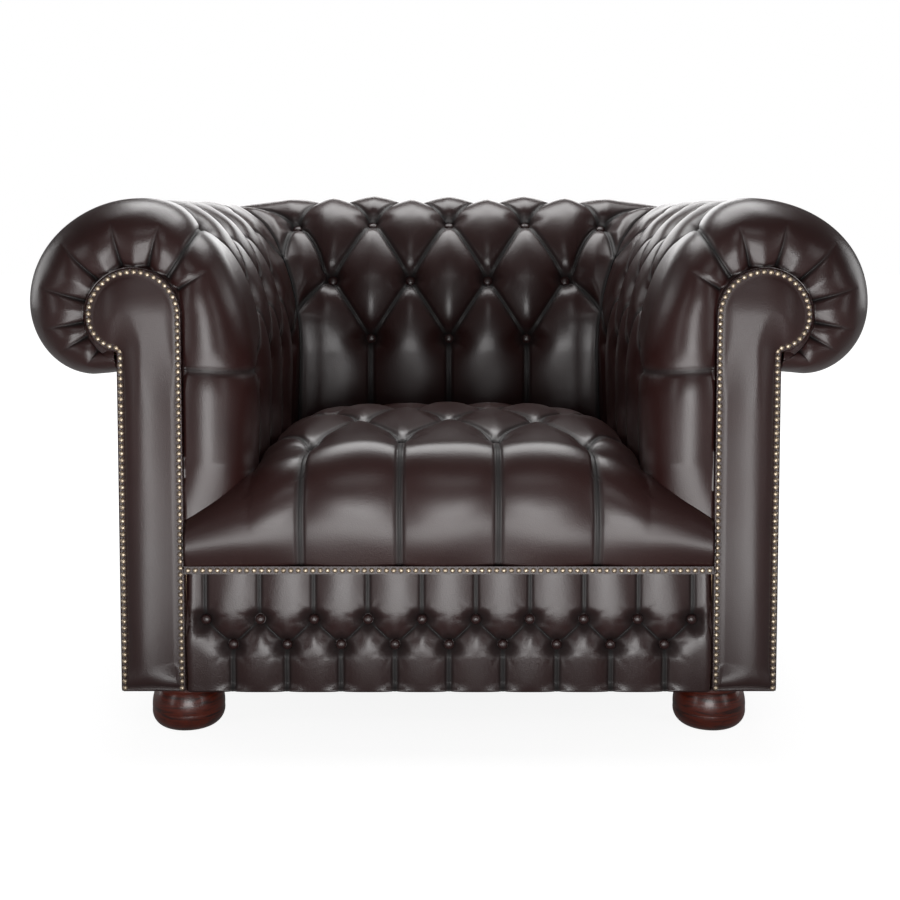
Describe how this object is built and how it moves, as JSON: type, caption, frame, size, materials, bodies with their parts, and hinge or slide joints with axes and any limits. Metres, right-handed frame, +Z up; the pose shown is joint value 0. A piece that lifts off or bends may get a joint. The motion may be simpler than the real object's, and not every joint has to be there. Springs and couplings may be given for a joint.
{
  "type": "armchair",
  "caption": "Low-backed upholstered armchair with scrolled arms level with the back, deep-buttoned leather, nailed facings and turned bun feet.",
  "frame": {"origin": "on the floor, at the middle of the chair's overall width and depth", "axes": "+X to the right as one looks at the chair's front, -Y out of the front, +Z up"},
  "size_m": [1.12, 0.9205, 0.7177],
  "materials": {
    "beech": "sawn beech",
    "bent_board": "plain board",
    "foot_wood": "dark mahogany stain, polished",
    "leather": "semi-gloss dark oxblood brown",
    "foam": "open-cell foam",
    "hessian": "coarse weave",
    "webbing": "woven strap",
    "dust_cloth": "black lining cloth",
    "spring_steel": "plain spring wire",
    "zinc_steel": "zinc plated",
    "aged_brass": "antiqued, domed"
  },
  "bodies": {
    "root": {"front_seat_rail": "beech", "back_seat_rail": "beech", "side_seat_rail_left": "beech", "side_seat_rail_right": "beech", "front_arm_post_left": "beech", "front_arm_post_right": "beech", "back_corner_post_left": "beech", "back_corner_post_right": "beech", "tacking_rails": "beech", "foot_blocks": "beech", "scroll_board_left": "beech", "scroll_board_right": "beech", "roll_formers": "beech", "arm_roll_slats_left": "beech", "arm_roll_slats_right": "beech", "back_roll_slats": "beech", "arm_roll_shell_left": "bent_board", "arm_roll_shell_right": "bent_board", "back_roll_shell": "bent_board", "facing_board_left": "bent_board", "facing_board_right": "bent_board", "foot_front_left": "foot_wood", "foot_front_right": "foot_wood", "foot_rear_left": "foot_wood", "foot_rear_right": "foot_wood", "inside_arm_cover_left": "leather", "inside_arm_cover_right": "leather", "inside_arm_buttons_left": "leather", "inside_arm_buttons_right": "leather", "inside_back_cover": "leather", "inside_back_buttons": "leather", "seat_cover": "leather", "seat_buttons": "leather", "front_border_cover": "leather", "front_border_buttons": "leather", "facing_cover_left": "leather", "facing_cover_right": "leather", "outside_arm_panel_left": "leather", "outside_arm_panel_right": "leather", "outside_back_panel": "leather", "seat_trim_strip": "leather", "inside_arm_foam_left": "foam", "inside_arm_foam_right": "foam", "inside_back_foam": "foam", "seat_foam": "foam", "front_border_foam": "foam", "inside_arm_hessian_left": "hessian", "inside_arm_hessian_right": "hessian", "inside_back_hessian": "hessian", "seat_hessian": "hessian", "webbing": "webbing", "dust_cover": "dust_cloth", "seat_springs": "spring_steel", "spring_clips": "spring_steel", "foot_bolts": "zinc_steel", "foot_inserts": "zinc_steel", "facing_nails_left": "aged_brass", "facing_nails_right": "aged_brass", "seat_trim_nails": "aged_brass"}
  },
  "joints": []
}
